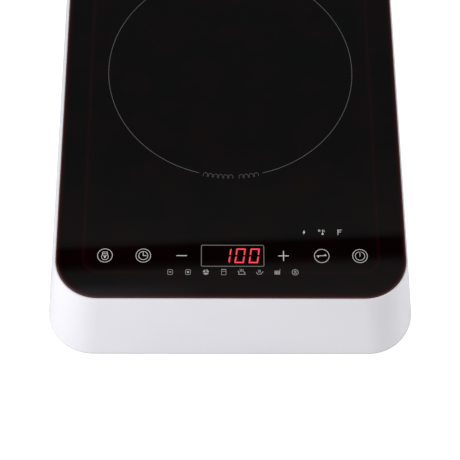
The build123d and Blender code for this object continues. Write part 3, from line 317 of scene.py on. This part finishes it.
def make_board():
    """Green solder mask with darker tracks below it."""
    made = Recipe("board", SOLDER_MASK, 0.3)
    tracks = made.node("ShaderNodeTexBrick", offset=0.35, squash=0.7)
    settings = {
        "Vector": made.place, "Scale": 90.0, "Mortar Size": 0.03,
        "Color1": SOLDER_MASK, "Color2": SOLDER_MASK_HIGH, "Mortar": TRACK_GREEN,
    }
    for socket, value in settings.items():
        made.feed(tracks.inputs[socket], value)
    made.put("Base Color", tracks.outputs["Color"])
    made.bump(tracks.outputs["Fac"], strength=0.3, distance=0.05 * MM)
    made.put("Coat Weight", 0.3)
    return made.material


STRAND_WAVER = 1.2
STRAND_BUMP = 0.5


def make_striped(name, base, scale, direction, roughness, metallic):
    """Wound or ribbed material: fine parallel strands."""
    made = Recipe(name, base, roughness, metallic)
    wave = made.node("ShaderNodeTexWave", bands_direction=direction)
    made.feed(wave.inputs["Vector"], made.place)
    made.feed(wave.inputs["Scale"], scale)
    made.feed(wave.inputs["Distortion"], STRAND_WAVER)
    strand = wave.outputs["Fac"]
    made.put("Base Color", made.ramp(strand, [(0.0, shade(base, 0.65)), (1.0, shade(base, 1.1))]))
    made.bump(strand, STRAND_BUMP)
    return made.material


PLAIN = {
    # slot: base colour, roughness, grain size (1/m), bump, metallic
    "silicone": ((0.045, 0.045, 0.047), 0.70, 900.0, 0.20, 0.0),
    "cover_plastic": ((0.62, 0.62, 0.64), 0.55, 1600.0, 0.35, 0.0),
    "rubber": ((0.022, 0.022, 0.023), 0.78, 1100.0, 0.40, 0.0),
    "steel": ((0.56, 0.55, 0.53), 0.32, 1500.0, 0.15, 1.0),
    "black_plastic": ((0.018, 0.018, 0.019), 0.50, 1500.0, 0.30, 0.0),
    "terminal_plastic": ((0.66, 0.63, 0.55), 0.45, 1200.0, 0.20, 0.0),
    "ferrite": ((0.045, 0.045, 0.048), 0.55, 2000.0, 0.35, 0.0),
    "mica": ((0.66, 0.61, 0.48), 0.50, 300.0, 0.30, 0.0),
    "spring_steel": ((0.60, 0.60, 0.60), 0.25, 1800.0, 0.08, 1.0),
    "sensor_ceramic": ((0.05, 0.05, 0.055), 0.45, 1500.0, 0.20, 0.0),
    "aluminium": ((0.72, 0.72, 0.74), 0.36, 1300.0, 0.20, 1.0),
    "epoxy": ((0.014, 0.014, 0.015), 0.48, 2200.0, 0.30, 0.0),
    "bright_metal": ((0.74, 0.73, 0.71), 0.20, 1500.0, 0.08, 1.0),
    "capacitor_plastic": ((0.05, 0.05, 0.055), 0.35, 1200.0, 0.12, 0.0),
    "yellow_plastic": ((0.66, 0.42, 0.04), 0.35, 1200.0, 0.12, 0.0),
    "capacitor_sleeve": ((0.014, 0.02, 0.07), 0.30, 1000.0, 0.10, 0.0),
    "varistor_coating": ((0.02, 0.09, 0.38), 0.30, 1100.0, 0.20, 0.0),
    "display_face": ((0.012, 0.004, 0.004), 0.25, 1500.0, 0.08, 0.0),
    "led": ((0.72, 0.69, 0.52), 0.25, 1500.0, 0.08, 0.0),
    "brass": ((0.60, 0.42, 0.14), 0.35, 1800.0, 0.20, 1.0),
    "lead_insulation": ((0.30, 0.02, 0.016), 0.42, 900.0, 0.12, 0.0),
    "fuse_glass": ((0.60, 0.64, 0.64), 0.10, 500.0, 0.04, 0.0),
}


STRIPED = {
    # slot: base colour, strands (1/m), direction, roughness, metallic
    "litz_wire": ((0.60, 0.22, 0.08), 420.0, "DIAGONAL", 0.35, 0.8),
    "copper_wire": ((0.58, 0.20, 0.07), 500.0, "Z", 0.30, 0.9),
    "coil_sleeve": ((0.70, 0.69, 0.62), 600.0, "DIAGONAL", 0.75, 0.0),
    "ribbon": ((0.52, 0.52, 0.55), 390.0, "Y", 0.45, 0.0),
}


def make_slot_materials():
    """One material for each of the record's slots."""
    made = {slot: make_plain(slot, *values) for slot, values in PLAIN.items()}
    made.update({slot: make_striped(slot, *values) for slot, values in STRIPED.items()})
    made["black_glass"] = make_black_glass()
    made["white_plastic"] = make_white_plastic()
    made["board"] = make_board()
    return made


def dress_nodes():
    """Give each CAD node its slot's material."""
    materials = make_slot_materials()
    slots = {entry["node"]: entry["material_slot"] for entry in frame["record"]["subparts"]}
    for name, node in frame["nodes"].items():
        node.data.materials.clear()
        node.data.materials.append(materials[slots[name]])


# ------------------------------------------------------------------ printing on the glass
PRINT_LIFT = 0.01 * MM
PRINT_THICKNESS = 0.05 * MM
STEPS_PER_CIRCLE = 64
MITRE_LIMIT = 0.4            # keeps a stroke's outer corner from running to a spike


def arc(x, y, radius, start=0.0, sweep=360.0, steps=STEPS_PER_CIRCLE):
    """Points along an arc, angles in degrees from +X. A full circle doesn't repeat its first point."""
    count = max(2, round(steps * abs(sweep) / 360.0))
    ends = count if abs(sweep) >= 360.0 else count + 1
    angles = [radians(start + sweep * n / count) for n in range(ends)]
    return [(x + radius * cos(angle), y + radius * sin(angle)) for angle in angles]


def rounded_box(width, height, corner, steps=5):
    """Closed outline of a box around the middle, with rounded corners."""
    outline = []
    for quarter, (sx, sy) in enumerate(((1, 1), (-1, 1), (-1, -1), (1, -1))):
        x = sx * (width / 2 - corner)
        y = sy * (height / 2 - corner)
        for n in range(steps + 1):
            angle = radians(90.0 * quarter + 90.0 * n / steps)
            outline.append((x + corner * cos(angle), y + corner * sin(angle)))
    return outline


class Sheet:
    """One printed symbol in millimetres around its own centre, laid as a thin closed mesh."""

    def __init__(self):
        self.mesh = bmesh.new()

    def corners(self, points, height):
        """Vertices at the points. Height 0 is the print's underside and 1 its top."""
        return [self.mesh.verts.new((x, y, height)) for x, y in points]

    def line(self, points, width, closed=False):
        """Stroke of even width along the points, with mitred corners."""
        left, right = [], []
        count = len(points)
        for n, point in enumerate(points):
            here = Vector(point)
            before = Vector(points[n - 1]) if closed or n > 0 else None
            after = Vector(points[(n + 1) % count]) if closed or n < count - 1 else None
            come = (here - before).normalized() if before is not None else None
            go = (after - here).normalized() if after is not None else None
            along = ((come or go) + (go or come)).normalized()
            side = Vector((-along.y, along.x))
            reach = width / 2 / max(MITRE_LIMIT, along.dot(go or come))
            left.append(here + side * reach)
            right.append(here - side * reach)
        rows = [self.corners(side, height) for height in (0.0, 1.0) for side in (left, right)]
        low_left, low_right, high_left, high_right = rows
        for n in range(count if closed else count - 1):
            after = (n + 1) % count
            self.mesh.faces.new((high_left[n], high_right[n], high_right[after], high_left[after]))
            self.mesh.faces.new((low_left[n], low_left[after], low_right[after], low_right[n]))
            self.mesh.faces.new((high_left[n], high_left[after], low_left[after], low_left[n]))
            self.mesh.faces.new((low_right[n], low_right[after], high_right[after], high_right[n]))
        if not closed:
            self.mesh.faces.new((low_left[0], low_right[0], high_right[0], high_left[0]))
            self.mesh.faces.new((low_right[-1], low_left[-1], high_left[-1], high_right[-1]))

    def ring(self, radius, width, x=0.0, y=0.0, start=0.0, sweep=360.0):
        """Circle or arc stroke whose outside is at the radius."""
        self.line(arc(x, y, radius - width / 2, start, sweep), width, closed=abs(sweep) >= 360.0)

    def fill(self, points):
        """Solid shape with the given outline."""
        low = self.corners(points, 0.0)
        high = self.corners(points, 1.0)
        self.mesh.faces.new(list(reversed(low)))
        self.mesh.faces.new(high)
        for n in range(len(points)):
            after = (n + 1) % len(points)
            self.mesh.faces.new((low[n], low[after], high[after], high[n]))

    def lay(self, name, material, x, y):
        """Finish the symbol at its place on the glass."""
        for vertex in self.mesh.verts:
            height = GLASS_TOP + PRINT_LIFT + vertex.co.z * PRINT_THICKNESS
            vertex.co = (x + vertex.co.x * MM, y + vertex.co.y * MM, height)
        bmesh.ops.recalc_face_normals(self.mesh, faces=self.mesh.faces)
        data = bpy.data.meshes.new(name)
        self.mesh.to_mesh(data)
        self.mesh.free()
        data.materials.append(material)
        piece = bpy.data.objects.new(name, data)
        bpy.context.scene.collection.objects.link(piece)
        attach(piece, BODY)


# The symbols' own sizes are in millimetres. The places they are laid at are in metres.
KEY_RADIUS = 6.1
KEY_LINE = 0.45
SIGN_REACH = 4.2
POWER_GAP = 24               # degrees left open where the power symbol's bar stands
ICON_LINE = 0.31
FRAME_WIDTH = 49.9
FRAME_HEIGHT = 18.7
FRAME_CORNER = 0.9
FRAME_LINE = 0.62
KEY_OFFSET = 40.7 * MM       # first key either side of the display
KEY_PITCH = 30.6 * MM
ICON_DROP = 14.5 * MM
ICON_PITCH = 14.2 * MM
LAMP_RISE = 21.2 * MM
LAMP_X = 73.1 * MM
LAMP_PITCH = 14.4 * MM


def draw_lock(sheet):
    """Padlock: round body with a keyhole's wedge, under a shackle with a cross bar."""
    line = 0.42
    sheet.ring(KEY_RADIUS, KEY_LINE)
    sheet.line(arc(0, -1.1, 2.7, 28, -236, 48), line)
    sheet.line([(-2.2, 0.5), (-1.75, 3.1), (1.75, 3.1), (2.2, 0.5)], line)
    sheet.line([(-1.75, 1.8), (1.75, 1.8)], 0.32)
    sheet.line([(-2.35, 0.25), (2.35, 0.25)], 0.4)
    sheet.fill([(-1.15, -0.5), (0.0, -2.7), (1.15, -0.5)])


def draw_timer(sheet):
    """Clock face with its hands at three o'clock."""
    sheet.ring(KEY_RADIUS, KEY_LINE)
    sheet.ring(3.85, KEY_LINE)
    sheet.line([(-0.1, 2.9), (-0.1, -0.1), (2.7, -0.1)], 0.5)


def draw_minus(sheet):
    sheet.line([(-SIGN_REACH, 0.0), (SIGN_REACH, 0.0)], 0.66)


def draw_plus(sheet):
    """Level bar, with the upright in two halves that stop at it."""
    line, start, end = 0.72, 0.36, 4.4
    sheet.line([(-SIGN_REACH, 0.0), (SIGN_REACH, 0.0)], 0.68)
    sheet.line([(0.0, start), (0.0, end)], line)
    sheet.line([(0.0, -end), (0.0, -start)], line)


def draw_mode(sheet):
    """Flat bar with a barb at each end, one below and one above."""
    sheet.ring(KEY_RADIUS, KEY_LINE)
    sheet.line([(-1.9, 0.1), (1.9, 0.3)], 0.55)
    sheet.fill([(-4.0, 0.45), (-2.8, -1.5), (-2.0, -0.3), (-2.0, 0.4)])
    sheet.fill([(4.0, 0.05), (2.8, 1.6), (2.0, 0.7), (2.0, 0.0)])


def draw_power(sheet):
    """Open ring with an upright bar in its gap."""
    sheet.ring(KEY_RADIUS, KEY_LINE)
    sheet.ring(3.95, 0.40, start=90 + POWER_GAP / 2, sweep=360 - POWER_GAP)
    sheet.line([(0.0, -0.4), (0.0, 3.6)], 0.45)


def draw_soft_square(sheet):
    sheet.line(rounded_box(3.9, 4.5, 1.1), ICON_LINE, closed=True)


def draw_slow_cook(sheet):
    draw_soft_square(sheet)
    sheet.line([(-0.9, 0.1), (0.9, 0.1)], 0.8)


def draw_defrost(sheet):
    draw_soft_square(sheet)
    sheet.fill(arc(0, 0, 0.95, steps=16))


def draw_dumpling(sheet):
    """Disc cut in three by its pleats."""
    radius, slit = 2.35, 0.45
    sheet.fill([(-slit, 0.2)] + arc(0, 0, radius, 100, 85, 32))
    sheet.fill([(slit, 0.2)] + arc(0, 0, radius, -5, 85, 32))
    sheet.fill([(0.0, -0.4)] + arc(0, 0, radius, 200, 140, 32))


def draw_jar(sheet):
    """Jar with a lid and a level line."""
    sheet.line([(-2.0, 2.3), (2.0, 2.3)], 0.55)
    sheet.line([(-1.8, 1.9), (-1.8, -2.3), (1.8, -2.3), (1.8, 1.9)], ICON_LINE)
    sheet.line([(-1.5, 0.7), (1.5, 0.7)], ICON_LINE)


def draw_steam_pot(sheet):
    """Pot with a spout and three curls of steam."""
    sheet.line([(-3.0, 1.1), (-2.2, 0.2), (-2.3, -1.9), (2.8, -1.9), (2.2, 0.2), (1.4, 0.2)], 0.5)
    for x in (-1.1, 0.0, 1.1):
        sheet.line([(x - 0.15, 0.3), (x + 0.15, 1.4), (x - 0.1, 2.7)], 0.42)


def draw_bowl(sheet):
    """Open bowl with three bars of steam."""
    sheet.line([(-2.6, 0.1), (-1.5, -1.7), (1.1, -1.7), (3.0, 0.7)], 0.42)
    for x in (-0.8, 0.0, 0.8):
        sheet.line([(x, -0.2), (x, 1.9)], 0.36)


def draw_grill(sheet):
    """Four pieces side by side on a skewer's handle."""
    pitch, half, low, high = 1.15, 0.42, -2.0, 0.7
    for n in range(4):
        x = -1.8 + pitch * n
        sheet.fill([(x - half, low), (x + half, low), (x + half, high), (x - half, high)])
    sheet.line([(-2.2, 1.05), (2.1, 1.05)], 0.45)
    sheet.line([(1.9, 1.3), (2.3, 2.4)], 0.42)


def draw_boost(sheet):
    """Double chevron in a ring."""
    sheet.ring(2.65, 0.45)
    for y in (-1.3, 0.2):
        sheet.line([(-1.1, y), (0.0, y + 1.0), (1.1, y)], 0.5)


def draw_bolt(sheet):
    sheet.fill([(0.5, 2.3), (-1.1, -0.4), (-0.2, -0.4), (-0.5, -2.3), (1.1, 0.5), (0.2, 0.5)])


def draw_thermometer(sheet):
    """Degree ring beside a thermometer with two marks."""
    stem = 0.6
    sheet.ring(0.9, 0.42, x=-2.1, y=1.5)
    sheet.line([(stem, 2.3), (stem, -0.9)], 0.5)
    sheet.fill(arc(stem, -1.5, 0.85, steps=20))
    for y in (1.9, 0.7):
        sheet.line([(1.3, y), (2.4, y)], 0.36)


def draw_level(sheet):
    """Upright scale with two level bars."""
    sheet.line([(-1.4, -2.3), (-1.4, 2.4)], 0.55)
    for y, reach in ((2.1, 1.6), (0.3, 1.1)):
        sheet.line([(-1.1, y), (reach, y)], 0.5)


def draw_display_frame(sheet):
    sheet.line(rounded_box(FRAME_WIDTH, FRAME_HEIGHT, FRAME_CORNER), FRAME_LINE, closed=True)


DIGIT_HEIGHT = 13.0
DIGIT_WIDTH = 7.5
DIGIT_PITCH = 11.3
DIGIT_LEAN = tan(radians(7.6))
SEGMENT = 1.1                # width of a lit bar
SEGMENT_GAP = 0.12           # at the digit's corners
WAIST_GAP = 0.55             # between a bar's point and the digit's middle
FIRST_DIGIT_X = -5.3
DIGITS_LIT = ("bc", "abcdef", "abcdef")


def draw_digit(sheet, x, bars):
    """Leaning seven-segment digit: a top, b and c right, d bottom, e and f left."""
    side, top, edge, gap = DIGIT_WIDTH / 2, DIGIT_HEIGHT / 2, SEGMENT, SEGMENT_GAP
    flat = [(-side + gap, top), (side - gap, top), (side - edge, top - edge), (edge - side, top - edge)]
    tall = [
        (side, top - gap), (side - edge, top - edge - gap), (side - edge, edge / 2 + WAIST_GAP),
        (side - edge / 2, WAIST_GAP), (side, edge / 2 + WAIST_GAP),
    ]
    places = {
        "a": (flat, 1, 1), "b": (tall, 1, 1), "c": (tall, 1, -1),
        "d": (flat, 1, -1), "e": (tall, -1, -1), "f": (tall, -1, 1),
    }
    for bar in bars:
        outline, across, up = places[bar]
        points = [(across * px, up * py) for px, py in outline]
        sheet.fill([(x + px + py * DIGIT_LEAN, py) for px, py in points])


def draw_digits(sheet):
    for n, bars in enumerate(DIGITS_LIT):
        draw_digit(sheet, FIRST_DIGIT_X + n * DIGIT_PITCH, bars)


ZONE_RADIUS = 103.9
ZONE_LINE = 0.42
ZONE_STEPS = 256
ZONE_GAP = 29.2              # degrees left open at the front for the coil humps
HUMP_GROUPS = (6, 4)
HUMP_PITCH = 4.2
HUMP_RADIUS = 1.65
HUMP_LEG = 1.9
HUMP_LINE = 0.32


def draw_zone_ring(sheet):
    start = -90 + ZONE_GAP / 2
    sheet.line(arc(0, 0, ZONE_RADIUS - ZONE_LINE / 2, start, 360 - ZONE_GAP, ZONE_STEPS), ZONE_LINE)


def draw_coil_humps(sheet):
    """Two groups of coil humps along the ring."""
    foot = (HUMP_RADIUS, -HUMP_LEG)
    hump = [(-HUMP_RADIUS, -HUMP_LEG)] + arc(0, 0, HUMP_RADIUS, 180, -180, 32) + [foot]
    place = -sum(HUMP_GROUPS) / 2
    for group in HUMP_GROUPS:
        for n in range(group):
            turn = Matrix.Rotation((place + n) * HUMP_PITCH / ZONE_RADIUS, 2)
            sheet.line([tuple(turn @ Vector((x, y - ZONE_RADIUS))) for x, y in hump], HUMP_LINE)
        place += group + 1           # one place stays empty between the groups


PRINT_BRIGHT = (0.62, 0.60, 0.58)
PRINT_DIM = (0.35, 0.33, 0.325)
PRINT_FRAME = (0.175, 0.165, 0.160)
PRINT_RING = (0.120, 0.110, 0.110)
PRINT_HUMP = (0.105, 0.096, 0.096)
KEYS = [
    # piece, drawing, side of the display, place outwards from it
    ("key_lock", draw_lock, -1, 2), ("key_timer", draw_timer, -1, 1), ("key_minus", draw_minus, -1, 0),
    ("key_plus", draw_plus, 1, 0), ("key_mode", draw_mode, 1, 1), ("key_power", draw_power, 1, 2),
]
ICONS = [
    ("icon_slow_cook", draw_slow_cook), ("icon_defrost", draw_defrost), ("icon_dumpling", draw_dumpling),
    ("icon_jar", draw_jar), ("icon_steam_pot", draw_steam_pot), ("icon_bowl", draw_bowl),
    ("icon_grill", draw_grill), ("icon_boost", draw_boost),
]
LAMPS = [("lamp_bolt", draw_bolt), ("lamp_thermometer", draw_thermometer), ("lamp_level", draw_level)]


def lay_symbol(name, draw, material, x, y):
    sheet = Sheet()
    draw(sheet)
    sheet.lay(name, material, x, y)


def lay_row(row, material, middle, pitch, y):
    """Symbols side by side, evenly spaced about the middle."""
    for n, (name, draw) in enumerate(row):
        lay_symbol(name, draw, material, middle + (n - (len(row) - 1) / 2) * pitch, y)


def print_panel():
    """All the printing on the glass, and the lit digits."""
    bright = make_print("print_bright", PRINT_BRIGHT)
    for name, draw, side, step in KEYS:
        lay_symbol(name, draw, bright, PANEL_X + side * (KEY_OFFSET + step * KEY_PITCH), KEY_Y)
    lay_row(ICONS, make_print("print_dim", PRINT_DIM), PANEL_X, ICON_PITCH, KEY_Y - ICON_DROP)
    lay_row(LAMPS, bright, LAMP_X, LAMP_PITCH, KEY_Y + LAMP_RISE)
    lay_symbol("display_frame", draw_display_frame, make_print("print_frame", PRINT_FRAME), PANEL_X, KEY_Y)
    lay_symbol("display_digits", draw_digits, make_digit_glow(), PANEL_X, KEY_Y)
    lay_symbol("zone_ring", draw_zone_ring, make_print("print_ring", PRINT_RING), 0.0, ZONE_Y)
    lay_symbol("zone_humps", draw_coil_humps, make_print("print_hump", PRINT_HUMP), 0.0, ZONE_Y)


# ------------------------------------------------------------------ studio
FLOOR_REACH = 6.0
FLOOR_WHITE = (0.80, 0.80, 0.80)
FLOOR_GLOW = 0.75            # lifts the floor to plain white in the picture, without lighting the part


def make_floor():
    mesh = bmesh.new()
    bmesh.ops.create_grid(mesh, x_segments=2, y_segments=2, size=FLOOR_REACH)
    data = bpy.data.meshes.new("floor")
    mesh.to_mesh(data)
    mesh.free()
    floor = bpy.data.objects.new("floor", data)
    bpy.context.scene.collection.objects.link(floor)
    made = Recipe("floor", FLOOR_WHITE, 0.8)
    made.put("Emission Color", (1.0, 1.0, 1.0))
    made.put("Specular IOR Level", 0.0)
    seen = made.node("ShaderNodeLightPath").outputs["Is Camera Ray"]
    made.put("Emission Strength", made.math("MULTIPLY", seen, FLOOR_GLOW))
    data.materials.append(made.material)


SOFTBOX_SIDE = 0.5
LIGHTS = [
    # name, place, what it aims at, watts
    ("key_light", (-0.93, -0.52, 0.55), (0.0, -0.1, 0.03), 5.7),
    ("fill_light", (1.2, 0.35, 0.40), (0.0, 0.0, 0.03), 5.0),
]


def make_softbox(name, place, aim, power):
    light = bpy.data.lights.new(name, "AREA")
    light.size = SOFTBOX_SIDE
    light.energy = power
    box = bpy.data.objects.new(name, light)
    box.location = place
    box.visible_glossy = False       # its outline would show as a hard rectangle in the glass
    box.rotation_euler = (Vector(place) - Vector(aim)).to_track_quat("Z", "Y").to_euler()
    bpy.context.scene.collection.objects.link(box)


BLACK = (0.0, 0.0, 0.0)
PLAIN_WHITE = (1.0, 1.0, 1.0)
AMBIENT = (0.68, 0.68, 0.685)
CEILING = [                  # by a ray's upward part: pale horizon, dim ceiling
    (0.0, (0.95, 0.95, 0.97)), (0.6, (0.245, 0.245, 0.25)), (1.0, (0.20, 0.20, 0.20)),
]

# The ceiling has one dark gap across it. Its edges are slopes, away from the front over up. The
# gap slants: its slopes grow by GAP_SLANT for each unit of slope to the right.
GAP_SLANT = 0.0445
GAP_NEAR = 0.4825
GAP_FAR = 0.4986
BEFORE_GAP = (0.92, 0.93, 0.95)
BEHIND_GAP = (0.62, 0.74, 0.72)
IN_GAP = (0.03, 0.02, 0.02)
FAR_CEILING = (0.38, 0.53, 0.53)
LOW_CEILING = (0.50, 0.50, 0.51)
GAP_TINTS = [
    (0.0, BEFORE_GAP), (0.450, BEFORE_GAP), (GAP_NEAR - 0.007, BEHIND_GAP), (GAP_NEAR, IN_GAP),
    (GAP_FAR, IN_GAP), (GAP_FAR + 0.002, BEHIND_GAP), (0.58, FAR_CEILING), (0.80, FAR_CEILING),
    (1.0, LOW_CEILING),
]

# A cool strip of light above the front edge, which grows towards the left.
STRIP_DEPTH = [(0.0, PLAIN_WHITE), (0.4605, PLAIN_WHITE), (0.4665, BLACK)]
STRIP_LEFT = [(0.0, BLACK), (0.12, (0.26, 0.28, 0.38))]


def make_world():
    """White surround. Gloss sees a pale horizon and a dim ceiling with one dark, slanted gap in it."""
    world = bpy.data.worlds.new("studio")
    bpy.context.scene.world = world
    world.use_nodes = True
    graph = Graph(world.node_tree)
    direction = graph.axes(graph.node("ShaderNodeTexCoord").outputs["Generated"])
    across = graph.math("DIVIDE", direction["X"], direction["Z"])
    away = graph.math("DIVIDE", direction["Y"], direction["Z"])
    slant = graph.math("SUBTRACT", away, graph.math("MULTIPLY", across, GAP_SLANT))

    ceiling = graph.ramp(direction["Z"], CEILING)
    gloss = graph.mix(1.0, ceiling, graph.ramp(slant, GAP_TINTS), "MULTIPLY")
    left = graph.ramp(graph.math("MULTIPLY", across, -1.0), STRIP_LEFT)
    strip = graph.mix(1.0, graph.ramp(slant, STRIP_DEPTH), left, "MULTIPLY")
    gloss = graph.mix(1.0, gloss, strip, "ADD")

    path = graph.node("ShaderNodeLightPath").outputs
    unseen = graph.mix(path["Is Glossy Ray"], AMBIENT, gloss)
    seen = graph.mix(path["Is Camera Ray"], unseen, PLAIN_WHITE)
    graph.feed(graph.nodes["Background"].inputs["Color"], seen)


def make_studio():
    make_floor()
    make_world()
    for settings in LIGHTS:
        make_softbox(*settings)
    bpy.context.scene.view_settings.view_transform = "Standard"


make_camera()
dress_nodes()
print_panel()
make_studio()
